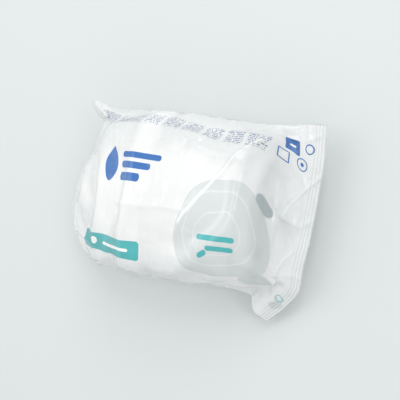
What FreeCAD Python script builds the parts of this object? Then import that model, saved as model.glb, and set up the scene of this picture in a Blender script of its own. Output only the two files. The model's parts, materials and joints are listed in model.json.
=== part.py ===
import FreeCAD, Part
import math
import os

V = FreeCAD.Vector

# A wrapped water pitcher filter cartridge: the cartridge lies on its broad side inside a sealed film pouch.
# Frame: X along the pouch with the cartridge's head at -X, Y across it, Z up, origin under the pouch's middle.
# The cartridge is drawn upright in its own frame: u across its broad side, v through it, w up from its foot.

# Ovals: the radius of the round ends is this share of the half depth
end_roundness = 0.68

# Cup of the lower housing
cup_height = 66.0
foot_half_width = 40.0
foot_half_depth = 26.5
cup_flare_width = 5.0
cup_flare_depth = 2.5
wall = 1.4
foot_round = 1.5
foot_recess = 2.5
foot_ring_wall = 2.2
floor_thickness = 1.8
outlet_slot_width = 1.2
outlet_slot_length = 9.0
outlet_slot_pitch = 5.0
outlet_slot_count = 9
outlet_row_offset = 8.0
floor_rib_width = 1.0
floor_rib_height = 1.0
side_rib_width = 2.0
side_rib_proud = 1.2
side_rib_start = 5.0

# Weld flange of the cup and the lid's rim over it
rim_overhang_width = 5.5
rim_overhang_depth = 3.0
rim_thickness = 2.0
skirt_wall = 1.2
skirt_drop = 3.2
flange_thickness = 2.0
screen_seat_depth = 1.0
screen_seat_margin = 1.6

# Dome of the lid
dome_shoulder = 7.5
dome_shoulder_depth = 4.5
dome_middle_share = 0.87
dome_top_share = 0.5
dome_height = 32.0
dome_middle_height_share = 0.53
dome_wall = 1.3
slot_width = 1.2
slot_height = 12.0
slot_pitch = 3.4
slot_count = 11
slot_start = 5.0
ring_width = 26.0
ring_bar = 4.0
ring_thickness = 4.0
ring_height = 18.0
ring_root = 2.0
ring_round = 0.8

# Screen, fleece and media
screen_hole = 4.6
screen_pitch = 5.6
screen_columns = 13
screen_rows = 8
screen_field_margin = 3.0
fleece_thickness = 2.0
fit_gap = 0.08

# Film pouch: its web is wider than half way round the rim by the ease
web_ease = 11.5
head_end_space = 10.0
foot_end_space = 28.0
seal_length = 10.0
film = 0.16
edge_half_height = 0.24
crimp_pitch = 2.0
crimp_depth = 0.45
film_slack = 0.75
head_seal_drop = 5.5
foot_seal_drop = 0.3
seal_droop = 6.0
seal_wave = 1.2
foot_sag = 11.0
sweep_reach = 60.0
gather_depth = 1.1
gather_pitch = 17.0
gather_reach = 30.0
fin_width = 9.0
fin_thickness = 0.4
fin_clearance = 0.15
body_fullness = 0.84
ring_fullness = 0.45
dome_fullness = 0.7
heel_fullness = 0.75

# How far the gathered film stands outside the rim's half width, on the far side (+Y) and on the near side (-Y)
rim_ease = 4.5
far_head_ease = 4.5
far_heel_ease = 4.0
far_foot_ease = 7.5
near_head_ease = 10.0
near_heel_ease = -1.0
near_foot_ease = 18.0

# How far each end seal is swept in towards the cartridge, at shares of its width from the near fold to the far one,
# and how far the foot seal's near corner hangs down
head_sweep = [(-1.0, 30.0), (-0.76, 14.0), (-0.54, 1.0), (0.1, 1.0), (0.31, 11.0), (0.5, 21.0), (0.65, 21.0), (1.0, 3.0)]
foot_sweep = [(-1.0, 20.0), (-0.82, 9.0), (-0.6, 1.0), (0.7, 0.5), (1.0, 3.0)]
foot_droop = [(-1.0, 14.0), (-0.82, 9.0), (-0.6, 3.0), (0.0, 0.0)]

# Steps of the film's control points
body_stations = 52
seal_stations = 20
around_stations = 44
fin_stations = 4


def oval(half_width, half_depth, end_radius, height):
    """Closed oval of four arcs, level at the given height."""
    side_radius = (half_width - end_radius) ** 2 + half_depth ** 2 - end_radius ** 2
    side_radius = side_radius / (2 * (half_depth - end_radius))
    across = (half_width - end_radius) / (side_radius - end_radius)
    along = (side_radius - half_depth) / (side_radius - end_radius)
    tu = half_width - end_radius + end_radius * across
    tv = end_radius * along
    ends = [V(tu, -tv, height), V(tu, tv, height), V(-tu, tv, height), V(-tu, -tv, height)]
    tops = [V(half_width, 0, height), V(0, half_depth, height), V(-half_width, 0, height), V(0, -half_depth, height)]
    arcs = [Part.Arc(ends[i], tops[i], ends[(i + 1) % 4]).toShape() for i in range(4)]
    return Part.Wire(arcs)


def inset(sizes, depth):
    return tuple(size - depth for size in sizes)


def blend(first, second, share):
    return tuple(a + (b - a) * share for a, b in zip(first, second))


def loft(*wires):
    return Part.makeLoft(list(wires), True, False)


def prism(sizes, bottom, top):
    return loft(oval(*sizes, bottom), oval(*sizes, top))


def box(u, v, w, centre_u, centre_v, bottom):
    return Part.makeBox(u, v, w, V(centre_u - u / 2, centre_v - v / 2, bottom))


def sizes_of(half_width, half_depth):
    """Half width, half depth and end radius of an oval."""
    return half_width, half_depth, end_roundness * half_depth


mouth_half_width = foot_half_width + cup_flare_width
mouth_half_depth = foot_half_depth + cup_flare_depth
rim_half_width = mouth_half_width + rim_overhang_width
rim_half_depth = mouth_half_depth + rim_overhang_depth
foot_sizes = sizes_of(foot_half_width, foot_half_depth)
mouth_sizes = sizes_of(mouth_half_width, mouth_half_depth)
rim_sizes = sizes_of(rim_half_width, rim_half_depth)
dome_half_width = rim_half_width - dome_shoulder
dome_half_depth = rim_half_depth - dome_shoulder_depth
dome_middle_half_depth = dome_half_depth * dome_middle_share
dome_top_half_depth = dome_half_depth * dome_top_share


def cup_sizes(height, depth=0.0):
    """Sizes of the tapered cup at a height, inset by a depth."""
    return inset(blend(foot_sizes, mouth_sizes, height / cup_height), depth)


def cup_body(bottom, top, depth):
    return loft(oval(*cup_sizes(bottom, depth), bottom), oval(*cup_sizes(top, depth), top))


floor_top = foot_recess + floor_thickness
rib_top = floor_top + floor_rib_height
seat_height = cup_height - screen_seat_depth
seat_sizes = inset(mouth_sizes, wall - screen_seat_margin)


def lower_housing():
    """Cup with a recessed outlet floor, side ribs and the weld flange."""
    cup = cup_body(0.0, cup_height, 0.0)
    foot_edges = [edge for edge in cup.Edges if edge.BoundBox.ZMax < foot_round]
    cup = cup.makeFillet(foot_round, foot_edges)
    flange_sizes = inset(rim_sizes, skirt_wall + fit_gap)
    cup = cup.fuse(prism(flange_sizes, cup_height - flange_thickness, cup_height))
    for side in (-1, 1):
        cup = cup.fuse(side_rib(side))
    cavity = cup_body(floor_top, cup_height, wall)
    cup = cup.cut(cavity)
    cup = cup.cut(prism(cup_sizes(0.0, foot_ring_wall), 0.0, foot_recess))
    cup = cup.cut(prism(seat_sizes, seat_height, cup_height))
    ribs = []
    slots = []
    middle = (outlet_slot_count - 1) / 2
    for i in range(outlet_slot_count):
        u = (i - middle) * outlet_slot_pitch
        for row in (-1, 1):
            v = row * outlet_row_offset
            slots.append(box(outlet_slot_width, outlet_slot_length, floor_thickness, u, v, foot_recess))
    for i in range(outlet_slot_count + 1):
        u = (i - middle - 0.5) * outlet_slot_pitch
        ribs.append(box(floor_rib_width, 2 * foot_half_depth, floor_rib_height, u, 0.0, floor_top))
    inside = cup_body(floor_top, rib_top, wall - floor_rib_width / 2)
    ribs = Part.makeCompound([rib.common(inside) for rib in ribs])
    return cup.cut(Part.makeCompound(slots)).fuse(ribs).removeSplitter()


def side_rib(side):
    """Locating rib on one end of the cup, following its taper up to the flange."""
    top = cup_height - flange_thickness / 2
    low = cup_sizes(side_rib_start)[0]
    high = cup_sizes(top)[0]
    root = wall / 2
    outline = [
        V(side * (low - root), 0, side_rib_start),
        V(side * (low + side_rib_proud), 0, side_rib_start + 2 * side_rib_proud),
        V(side * (high + side_rib_proud), 0, top),
        V(side * (high - root), 0, top),
    ]
    face = Part.Face(Part.makePolygon(outline + outline[:1]))
    face.translate(V(0, -side_rib_width / 2, 0))
    return face.extrude(V(0, side_rib_width, 0))


def dome(depth, bottom, top):
    """Body of the lid's dome, inset by a depth."""
    foot = inset(sizes_of(dome_half_width, dome_half_depth), depth)
    middle = inset(sizes_of(dome_half_width * dome_middle_share, dome_middle_half_depth), depth)
    crown = inset(sizes_of(dome_half_width * dome_top_share, dome_top_half_depth), depth)
    half = bottom + (top - bottom) * dome_middle_height_share
    return loft(oval(*foot, bottom), oval(*middle, half), oval(*crown, top))


rim_top = cup_height + rim_thickness
dome_top = rim_top + dome_height
ring_top = dome_top + ring_height


def pull_ring():
    """Upright ring on the dome's top."""
    radius = ring_width / 2
    shoulder = ring_top - radius
    root = dome_top - ring_root

    def arch(half, foot):
        left = V(-half, 0, foot)
        right = V(half, 0, foot)
        bend = Part.Arc(V(half, 0, shoulder), V(0, 0, shoulder + half), V(-half, 0, shoulder)).toShape()
        sides = [Part.makeLine(right, V(half, 0, shoulder)), bend, Part.makeLine(V(-half, 0, shoulder), left)]
        return Part.Face(Part.Wire(sides + [Part.makeLine(left, right)]))

    solid = arch(radius, root).extrude(V(0, ring_thickness, 0))
    solid = solid.cut(arch(radius - ring_bar, dome_top + ring_round).extrude(V(0, ring_thickness, 0)))
    solid.translate(V(0, -ring_thickness / 2, 0))
    rounded = [edge for edge in solid.Edges if edge.BoundBox.YLength < ring_round and edge.BoundBox.ZMax > dome_top + ring_bar]
    return solid.makeFillet(ring_round, rounded)


def upper_housing():
    """Lid with a skirted rim, a slotted dome and a pull ring."""
    lid = prism(rim_sizes, cup_height - skirt_drop, rim_top)
    lid = lid.cut(prism(inset(rim_sizes, skirt_wall), cup_height - skirt_drop, cup_height))
    lid = lid.fuse(dome(0.0, rim_top - rim_thickness / 2, dome_top))
    lid = lid.cut(dome(dome_wall, cup_height, dome_top - dome_wall))
    slots = []
    for i in range(slot_count):
        u = (i - (slot_count - 1) / 2) * slot_pitch
        slots.append(box(slot_width, 2 * rim_half_depth, slot_height, u, 0.0, rim_top + slot_start))
    lid = lid.cut(Part.makeCompound(slots))
    return lid.fuse(pull_ring()).removeSplitter()


def inlet_screen():
    """Level screen clamped between the cup and the lid."""
    sizes = inset(seat_sizes, fit_gap)
    plate = prism(sizes, seat_height + fit_gap / 2, cup_height - fit_gap / 2)
    field_u = mouth_half_width - wall - screen_field_margin
    field_v = mouth_half_depth - wall - screen_field_margin
    holes = []
    for column in range(screen_columns):
        for row in range(screen_rows):
            u = (column - (screen_columns - 1) / 2) * screen_pitch
            v = (row - (screen_rows - 1) / 2) * screen_pitch
            far_u = abs(u) + screen_hole / 2
            far_v = abs(v) + screen_hole / 2
            if (far_u / field_u) ** 2 + (far_v / field_v) ** 2 < 1:
                holes.append(box(screen_hole, screen_hole, 2 * screen_seat_depth, u, v, seat_height - screen_seat_depth / 2))
    return plate.cut(Part.makeCompound(holes))


def outlet_fleece():
    """Pad of fleece on the outlet floor's ribs."""
    return cup_body(rib_top + fit_gap / 2, rib_top + fleece_thickness, wall + fit_gap)


def filter_media():
    """Bed of granules between the fleece and the screen."""
    return cup_body(rib_top + fleece_thickness + fit_gap / 2, seat_height - fit_gap / 2, wall + fit_gap)


# Laying the cartridge down: w turns to -X and v to +Z, tilted so that the foot and the rim both touch the film.
lay_tilt = math.degrees(math.atan2(rim_half_depth - foot_half_depth, cup_height - skirt_drop))
web_width = oval(*rim_sizes, rim_top).Length / 2 + web_ease
pouch_length = 2 * seal_length + foot_end_space + ring_top + head_end_space
foot_x = pouch_length / 2 - seal_length - foot_end_space
fin_stack = fin_thickness + fin_clearance
rest_height = fin_stack + film + fit_gap + foot_half_depth * math.cos(math.radians(lay_tilt))


def lay_down(shape):
    """Place a piece drawn upright on its broad side in the pouch's frame."""
    turn = FreeCAD.Rotation(V(0, -1, 0), V(0, 0, 1), V(-1, 0, 0), "ZXY")
    tilt = FreeCAD.Rotation(V(0, 1, 0), lay_tilt)
    shape.Placement = FreeCAD.Placement(V(foot_x, 0, rest_height), tilt.multiply(turn)).multiply(shape.Placement)
    return shape


def place(u, v, w):
    """Position in the pouch's frame of a point of the upright cartridge."""
    lean = math.radians(lay_tilt)
    x = foot_x - w * math.cos(lean) + v * math.sin(lean)
    z = rest_height + w * math.sin(lean) + v * math.cos(lean)
    return x, -u, z


def smooth(share):
    share = min(1.0, max(0.0, share))
    return share * share * (3 - 2 * share)


def along(x, knots):
    """Value at x on a line of straight steps through (x, value) pairs."""
    if x <= knots[0][0]:
        return knots[0][1]
    for (x0, v0), (x1, v1) in zip(knots, knots[1:]):
        if x <= x1:
            return v0 + (v1 - v0) * (x - x0) / (x1 - x0)
    return knots[-1][1]


head_seal_x = -pouch_length / 2 + seal_length
foot_seal_x = pouch_length / 2 - seal_length
head_seal_height = place(0, 0, ring_top)[2] - head_seal_drop
foot_seal_height = place(0, 0, 0)[2] - foot_seal_drop


def film_lines():
    """Heights of the film's top, underside and side folds along the pouch."""
    ring_x, _, ring_z = place(0, ring_thickness / 2, ring_top)
    crown_x, _, crown_z = place(0, dome_top_half_depth, dome_top)
    middle_x, _, middle_z = place(0, dome_middle_half_depth, rim_top + dome_middle_height_share * dome_height)
    rim_x, _, rim_z = place(0, rim_half_depth, rim_top)
    skirt_x, _, skirt_z = place(0, rim_half_depth, cup_height - skirt_drop)
    heel_x, _, heel_z = place(0, foot_half_depth, 0)
    lift = film + film_slack
    top = [
        (head_seal_x, head_seal_height),
        (ring_x - film_slack, ring_z + 3 * lift),
        (crown_x - film_slack, crown_z + 3 * lift),
        (middle_x - film_slack, middle_z + 3 * lift),
        (rim_x - 2 * film_slack, rim_z + lift),
        (skirt_x, skirt_z + lift),
        (heel_x + 2 * film_slack, heel_z + 4 * lift),
        ((heel_x + foot_seal_x) / 2, (heel_z + foot_seal_height) / 2 - foot_sag),
        (foot_seal_x, foot_seal_height),
    ]
    _, _, axis_foot = place(0, 0, 0)
    _, _, axis_rim = place(0, 0, rim_top)
    rim_low_x, _, _ = place(0, -rim_half_depth, rim_top)
    heel_low_x, _, _ = place(0, -foot_half_depth, 0)
    under = [
        (head_seal_x, head_seal_height),
        (rim_low_x - 4 * film_slack, fin_stack),
        (heel_low_x + 4 * film_slack, fin_stack),
        (foot_seal_x, foot_seal_height),
    ]
    fold = [(head_seal_x, head_seal_height), (rim_x, axis_rim), (heel_x, axis_foot), (foot_seal_x, foot_seal_height)]
    full = [
        (head_seal_x, 0.0),
        (ring_x, ring_fullness),
        (middle_x, dome_fullness),
        (rim_x, 1.0),
        (skirt_x, 1.0),
        (heel_x, heel_fullness),
        (foot_seal_x, 0.0),
    ]
    far = [
        (head_seal_x, rim_half_width + far_head_ease),
        (rim_x, rim_half_width + rim_ease),
        (heel_x, rim_half_width + far_heel_ease),
        (foot_seal_x, rim_half_width + far_foot_ease),
    ]
    near = [
        (head_seal_x, rim_half_width + near_head_ease),
        (rim_x, rim_half_width + rim_ease),
        (heel_x, rim_half_width + near_heel_ease),
        (foot_seal_x, rim_half_width + near_foot_ease),
    ]
    return top, under, fold, full, far, near


def half_section(half_width, rise, fullness, step):
    """Point of a half section, from one side fold at step 0 over the middle to the other at step 1."""
    angle = math.pi * step
    cosine = math.cos(angle)
    flat = 1.0 + (body_fullness - 1.0) * fullness
    steep = 2.0 + (body_fullness - 2.0) * fullness
    y = half_width * math.copysign(abs(cosine) ** flat, cosine)
    return y, rise * max(0.0, math.sin(angle)) ** steep


def half_length(half_width, rise, fullness):
    points = [half_section(half_width, rise, fullness, i / around_stations) for i in range(around_stations + 1)]
    return sum(math.dist(p, q) for p, q in zip(points, points[1:]))


def solve_width(rise, drop, fullness):
    """Half width at which the film around the section is the web's own width on both sides."""
    low, high = 0.0, web_width / 2
    for _ in range(40):
        middle = (low + high) / 2
        if half_length(middle, rise, fullness) + half_length(middle, drop, fullness) > 2 * web_width:
            high = middle
        else:
            low = middle
    return (low + high) / 2


def drawn_in(x, reach, z, sides, edge):
    """Point of the flat film gathered to the sides' widths, and swept in along X with its end seal."""
    sweep = smooth(1 - (edge - seal_length) / sweep_reach) * along(reach, head_sweep if x < 0 else foot_sweep)
    droop = smooth(1 - (edge - seal_length) / gather_reach) * along(reach, foot_droop) if x > 0 else 0.0
    return V(x - math.copysign(sweep, x), reach * sides[0 if reach > 0 else 1], z - droop)


def film_grids():
    """Control points of the film's outer faces: rows along X, each from one side fold to the other."""
    top_line, under_line, fold_line, full_line, far_line, near_line = film_lines()
    half = pouch_length / 2
    body = foot_seal_x - head_seal_x
    rows = [-half + seal_length * i / seal_stations for i in range(seal_stations)]
    rows += [head_seal_x + body * i / body_stations for i in range(body_stations)]
    rows += [foot_seal_x + seal_length * i / seal_stations for i in range(seal_stations + 1)]
    top_grid = []
    under_grid = []
    for x in rows:
        fold = along(x, fold_line)
        rise = max(0.0, along(x, top_line) - fold)
        drop = max(0.0, fold - along(x, under_line))
        fullness = smooth(along(x, full_line))
        width = solve_width(rise, drop, fullness)
        sides = (min(width, along(x, far_line)), min(width, along(x, near_line)))
        edge = min(x + half, half - x)
        crimp = 0.0
        if edge < seal_length:
            crimp = crimp_depth * math.cos(2 * math.pi * edge / crimp_pitch)
            crimp = crimp * smooth((seal_length - edge) / crimp_pitch)
        hang = -seal_droop * max(0.0, 1 - edge / seal_length)
        near = max(0.0, 1 - abs(edge - seal_length - gather_reach / 2) / (gather_reach / 2))
        seal_share = smooth(1 - (edge - seal_length) / gather_reach)
        tops = []
        unders = []
        for i in range(around_stations + 1):
            step = i / around_stations
            y, up = half_section(width, rise, fullness, step)
            y_low, down = half_section(width, drop, fullness, step)
            gather = gather_depth * smooth(near) * (1 + math.cos(2 * math.pi * y / gather_pitch)) / 2
            gather = gather * math.sin(math.pi * step)
            wave = seal_wave * seal_share * math.cos(3 * math.pi * y / web_width) + crimp + hang
            high = fold + edge_half_height + up + gather + wave
            low = max(fin_stack, fold - edge_half_height - down - gather + wave)
            tops.append(drawn_in(x, y / width, high, sides, edge))
            unders.append(drawn_in(x, y_low / width, low, sides, edge))
        top_grid.append(tops)
        under_grid.append(unders)
    return top_grid, under_grid


def inner_grid(grid, side):
    """Control points moved in by the film's thickness, for the rows between the seals."""
    first = seal_stations
    last = len(grid) - seal_stations - 1
    rows = []
    for i in range(first, last + 1):
        row = []
        for j in range(around_stations + 1):
            before = grid[i][max(0, j - 1)]
            after = grid[i][min(around_stations, j + 1)]
            normal = (grid[i + 1][j] - grid[i - 1][j]).cross(after - before)
            normal = normal.normalize() * side
            point = grid[i][j] + normal * film
            if j == 0 or j == around_stations:
                sign = 1 if j == 0 else -1
                point.y = min(sign * point.y, sign * grid[i][j].y - film) * sign
            row.append(point)
        rows.append(row)
    return rows


def with_fin(row, share):
    """Control points of a row with the back seam's fin folded flat towards +Y, or flattened out where share is 0."""
    row = [V(point) for point in row]
    middle = around_stations // 2
    near = row[middle - 1]
    far = row[middle + 1]

    def base(y):
        for first, second in zip(row, row[1:]):
            if second.y <= y <= first.y:
                part = (first.y - y) / (first.y - second.y)
                return first + (second - first) * part
        return V(row[middle])

    turn = fin_clearance
    out = [fin_width * i / fin_stations for i in range(1, fin_stations + 1)]
    fold = [(4 * turn, 0.0), (2 * turn, 0.0), (turn, -fin_clearance / 2), (2 * turn, -fin_clearance)]
    fold += [(y, -fin_clearance) for y in out] + [(fin_width, -fin_clearance), (fin_width, -fin_stack)]
    fold += [(y, -fin_stack) for y in reversed(out)]
    fold += [(turn, -fin_stack), (-4 * turn, 0.0), (-8 * turn, 0.0)]
    points = []
    for i, (y, z) in enumerate(fold):
        flat = near.y + (far.y - near.y) * (i + 1) / (len(fold) + 1)
        point = base(share * y + (1 - share) * flat)
        point.z += share * z
        points.append(point)
    return row[:middle] + points + row[middle + 1:]


def skin(grid):
    """Smooth face over a grid of control points."""
    def ends(count):
        return list(range(count - 2)), [4] + [1] * (count - 4) + [4]

    knots_x, mults_x = ends(len(grid))
    knots_y, mults_y = ends(len(grid[0]))
    surface = Part.BSplineSurface()
    surface.buildFromPolesMultsKnots(grid, mults_x, mults_y, knots_x, knots_y, False, False, 3, 3)
    return surface


def closed_skin(top_grid, under_grid):
    """Closed shell of a top and an underside joined by narrow strips along the folds and ends."""
    faces = [skin(top_grid).toShape(), skin(under_grid).toShape()]
    borders = [
        (top_grid[0], under_grid[0]),
        (top_grid[-1], under_grid[-1]),
        ([row[0] for row in top_grid], [row[0] for row in under_grid]),
        ([row[-1] for row in top_grid], [row[-1] for row in under_grid]),
    ]
    for upper, lower in borders:
        curves = []
        for poles in (upper, lower):
            count = len(poles)
            curve = Part.BSplineCurve()
            curve.buildFromPolesMultsKnots(poles, [4] + [1] * (count - 4) + [4], list(range(count - 2)), False, 3)
            curves.append(curve.toShape())
        faces.append(Part.makeRuledSurface(curves[0], curves[1]))
    shape = Part.makeCompound(faces)
    shape.sewShape()
    return Part.Solid(shape.Shells[0])


def fin_share(index, count):
    """1 where the fin stands off the film, 0 where an end seal presses it flat."""
    return 1.0 if seal_stations < index < count - seal_stations - 1 else 0.0


def film_pouch():
    """One web of film, closed round the cartridge, with a crimped seal at each end."""
    top_grid, under_grid = film_grids()
    finned = [with_fin(row, fin_share(i, len(under_grid))) for i, row in enumerate(under_grid)]
    plain = [with_fin(row, 0.0) for row in top_grid]
    outer = closed_skin(plain, finned)
    inner = closed_skin(inner_grid(top_grid, 1), inner_grid(under_grid, -1))
    if outer.Volume < 0:
        outer.reverse()
    if inner.Volume > 0:
        inner.reverse()
    return Part.Solid(Part.makeCompound([outer.Shells[0], inner.Shells[0]]))


pieces = {
    "lower_housing": lay_down(lower_housing()),
    "upper_housing": lay_down(upper_housing()),
    "inlet_screen": lay_down(inlet_screen()),
    "outlet_fleece": lay_down(outlet_fleece()),
    "filter_media": lay_down(filter_media()),
    "film_pouch": film_pouch(),
}

# The gathered ends aren't alike on both sides, so the origin goes under the middle of the pouch's own box.
middle = pieces["film_pouch"].BoundBox.Center
for shape in pieces.values():
    shape.translate(V(-middle.x, -middle.y, 0.0))

os.makedirs("parts", exist_ok=True)
for name, shape in pieces.items():
    shape.exportStep("parts/" + name + ".step")
    bounds = shape.BoundBox
    size = (bounds.XLength, bounds.YLength, bounds.ZLength)
    print(name, shape.isValid(), len(shape.Solids), round(shape.Volume, 1), [round(value, 2) for value in size])
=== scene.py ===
# %% [markdown]
# # A wrapped water pitcher filter cartridge
#
# A white moulded cartridge lies on its broad side in a sealed pouch of thin, milky film.
# The cartridge's parts come from the CAD frame and get new finishes. The pouch is made again here,
# because a film's wrinkles come from its own stiffness, which a cloth simulation knows and a loft doesn't.

# %% Load the CAD frame
import bpy
import json
import math
import numpy as np
from mathutils import Matrix, Vector
from mathutils.bvhtree import BVHTree

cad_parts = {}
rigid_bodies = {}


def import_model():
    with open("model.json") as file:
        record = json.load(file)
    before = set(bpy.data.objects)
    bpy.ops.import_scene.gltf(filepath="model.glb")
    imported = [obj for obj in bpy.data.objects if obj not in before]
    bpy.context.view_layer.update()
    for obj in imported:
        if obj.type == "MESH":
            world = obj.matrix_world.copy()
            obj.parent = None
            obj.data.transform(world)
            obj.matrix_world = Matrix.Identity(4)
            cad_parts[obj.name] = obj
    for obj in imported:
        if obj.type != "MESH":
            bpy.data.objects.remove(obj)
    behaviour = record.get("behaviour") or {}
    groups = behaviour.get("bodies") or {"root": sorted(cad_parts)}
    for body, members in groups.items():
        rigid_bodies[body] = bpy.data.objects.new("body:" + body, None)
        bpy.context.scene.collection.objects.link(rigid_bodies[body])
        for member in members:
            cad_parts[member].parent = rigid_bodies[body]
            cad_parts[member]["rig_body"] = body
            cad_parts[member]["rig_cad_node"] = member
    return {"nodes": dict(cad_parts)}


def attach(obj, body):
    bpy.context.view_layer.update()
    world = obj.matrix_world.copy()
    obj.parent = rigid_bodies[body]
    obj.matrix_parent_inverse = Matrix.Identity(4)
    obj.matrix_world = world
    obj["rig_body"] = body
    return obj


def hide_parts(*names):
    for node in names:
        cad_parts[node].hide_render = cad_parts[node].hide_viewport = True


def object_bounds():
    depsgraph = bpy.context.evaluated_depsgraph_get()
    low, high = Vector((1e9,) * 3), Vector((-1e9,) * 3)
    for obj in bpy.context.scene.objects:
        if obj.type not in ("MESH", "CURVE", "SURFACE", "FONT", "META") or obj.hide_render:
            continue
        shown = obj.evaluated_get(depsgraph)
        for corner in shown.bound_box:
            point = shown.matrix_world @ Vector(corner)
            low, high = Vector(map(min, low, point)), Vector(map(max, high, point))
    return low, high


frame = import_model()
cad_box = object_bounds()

MM = 0.001
AXIS = Vector((-0.22, 5.25, 0)) * MM
nodes = frame["nodes"]
print("CAD box in mm:", [[round(value / MM, 1) for value in corner] for corner in cad_box])


def nothing_selected():
    """Operators act on whatever is selected, so each step starts from nothing."""
    if bpy.context.object and bpy.context.object.mode != "OBJECT":
        bpy.ops.object.mode_set(mode="OBJECT")
    bpy.ops.object.select_all(action="DESELECT")


def only(piece):
    """Makes one piece the selected and active one."""
    nothing_selected()
    piece.select_set(True)
    bpy.context.view_layer.objects.active = piece


# %% [markdown]
# ## The camera
#
# The pouch is seen from above its printed side, leaned over towards the foot end and turned by ten
# degrees. A direction, a roll and a distance describe that view better than three Euler angles.

# %% Camera above the printed side
PHOTO = 400
FOCAL = 425
SENSOR = 36
LEAN_ALONG = math.radians(25)
LEAN_ACROSS = math.radians(4)
ROLL = math.radians(10)
DISTANCE = 272
target = AXIS + Vector((13, 0, 32)) * MM
toward = Vector((math.tan(LEAN_ALONG), math.tan(LEAN_ACROSS), 1)).normalized()
across = Vector((0, 1, 0)).cross(toward).normalized()
upward = toward.cross(across)
turned = Matrix((across, upward, toward)).transposed() @ Matrix.Rotation(ROLL, 3, "Z")
bpy.ops.object.camera_add(location=target + toward * DISTANCE * MM)
camera = bpy.context.object
camera.rotation_mode = "QUATERNION"
camera.rotation_quaternion = turned.to_quaternion()
camera.data.sensor_width = SENSOR
camera.data.lens = SENSOR * FOCAL / PHOTO
camera.data.shift_x = 6 / PHOTO
camera.data.shift_y = 1 / PHOTO
camera.data.clip_start = 0.01
bpy.context.scene.camera = camera
print("camera at", [round(value, 3) for value in camera.location], "lens", camera.data.lens)

# %% [markdown]
# ## Floor and light
#
# The pouch lies on a plain pale surface under a wide soft light from beyond its upper edge. Weaker lamps
# light its other sides, and two small ones give the glossy film its glints. A low, even sky fills the
# shadows, so that white plastic doesn't go grey. Camera and mirrors see that sky paler than it shines,
# because a paler one would wash out the film's shading.

# %% Floor
nothing_selected()
bpy.ops.mesh.primitive_plane_add(size=6, location=(0, 0, cad_box[0].z))
floor = bpy.context.object
floor.name = "floor"


def new_material(name):
    """A node material with its Principled shader."""
    material = bpy.data.materials.new(name)
    material.use_nodes = True
    return material, material.node_tree, material.node_tree.nodes["Principled BSDF"]


pale, tree, shader = new_material("pale_table")
shader.inputs["Base Color"].default_value = (0.725, 0.75, 0.75, 1)
shader.inputs["Roughness"].default_value = 0.9
shader.inputs["Specular IOR Level"].default_value = 0.1
floor.data.materials.append(pale)

# %% Six square lamps
def soft_box(name, place, size, power):
    """A square lamp that looks at the pouch."""
    bpy.ops.object.light_add(type="AREA", location=place)
    lamp = bpy.context.object
    lamp.name = name
    lamp.data.size = size
    lamp.data.energy = power
    lamp.rotation_euler = (target - Vector(place)).to_track_quat("-Z", "Y").to_euler()


soft_box("window", (0.25, 0.95, 0.75), 0.7, 4.4)
soft_box("ceiling", (-0.55, 0.1, 0.95), 0.7, 2.3)
soft_box("fill", (0.35, -0.95, 0.45), 0.8, 1.2)
soft_box("side", (-0.9, -0.35, 0.4), 1.0, 1.3)
soft_box("sparkle", (0.1, 0.6, 0.9), 0.10, 0.6)
soft_box("glint", (0.8, 0.15, 0.75), 0.3, 1.2)

# %% A sky that looks paler than it shines
SKY_LIGHT = 0.62
SKY_SEEN = 0.82


def maths(tree, operation, *values, clamp=False):
    """One Math node; values are sockets or numbers."""
    node = tree.nodes.new("ShaderNodeMath")
    node.operation = operation
    node.use_clamp = clamp
    for index, value in enumerate(values):
        if isinstance(value, (int, float)):
            node.inputs[index].default_value = value
        else:
            tree.links.new(value, node.inputs[index])
    return node.outputs[0]


sky = bpy.data.worlds.new("even_sky")
bpy.context.scene.world = sky
sky.use_nodes = True
tree = sky.node_tree
background = tree.nodes["Background"]
background.inputs["Color"].default_value = (0.97, 0.99, 1, 1)
rays = tree.nodes.new("ShaderNodeLightPath").outputs
mirrored = maths(tree, "MAXIMUM", rays["Is Glossy Ray"], rays["Is Transmission Ray"])
seen = maths(tree, "MAXIMUM", rays["Is Camera Ray"], mirrored)
strength = maths(tree, "MULTIPLY_ADD", seen, SKY_SEEN - SKY_LIGHT, SKY_LIGHT)
tree.links.new(strength, background.inputs["Strength"])
bpy.context.scene.view_settings.view_transform = "Standard"
print("sky shines with", SKY_LIGHT, "and is seen with", SKY_SEEN)

# %% [markdown]
# ## The film as two flat sheets
#
# A flow-wrapped pouch starts as one flat web, folded round the goods. Laid flat it is two sheets on each
# other, joined along both side folds and both ends. Two grids welded along their rims are that pattern,
# and every point keeps its flat place in an attribute, which later carries the seals' crimps and the print.

# %% Two welded grids
LONG = 200 * MM
WIDE = 142 * MM
SEAL = 10 * MM
COLUMNS = 80
ROWS = 56
APART = 0.2 * MM


def flat_sheet(name, side):
    """One flat sheet of film; the lower one faces down."""
    place = (0, 0, side * APART)
    bpy.ops.mesh.primitive_grid_add(x_subdivisions=COLUMNS, y_subdivisions=ROWS, size=1, location=place)
    sheet = bpy.context.object
    sheet.name = name
    sheet.scale = (LONG, WIDE, 1)
    bpy.ops.object.transform_apply(location=True, rotation=True, scale=True)
    if side < 0:
        bpy.ops.object.mode_set(mode="EDIT")
        bpy.ops.mesh.flip_normals()
        bpy.ops.object.mode_set(mode="OBJECT")
    return sheet


nothing_selected()
under_sheet = flat_sheet("under_sheet", -1)
film = flat_sheet("film_wrap", 1)
under_sheet.select_set(True)
bpy.ops.object.join()


def rows_of(items, name):
    """One vector of every item, as rows of three numbers."""
    values = np.empty(len(items) * 3)
    items.foreach_get(name, values)
    return values.reshape(-1, 3)


def points_of(mesh):
    """Every vertex's place."""
    return rows_of(mesh.vertices, "co")


def put_points(mesh, points):
    """Moves every vertex to its new place."""
    mesh.vertices.foreach_set("co", np.asarray(points, dtype=float).ravel())
    mesh.update()


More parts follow.
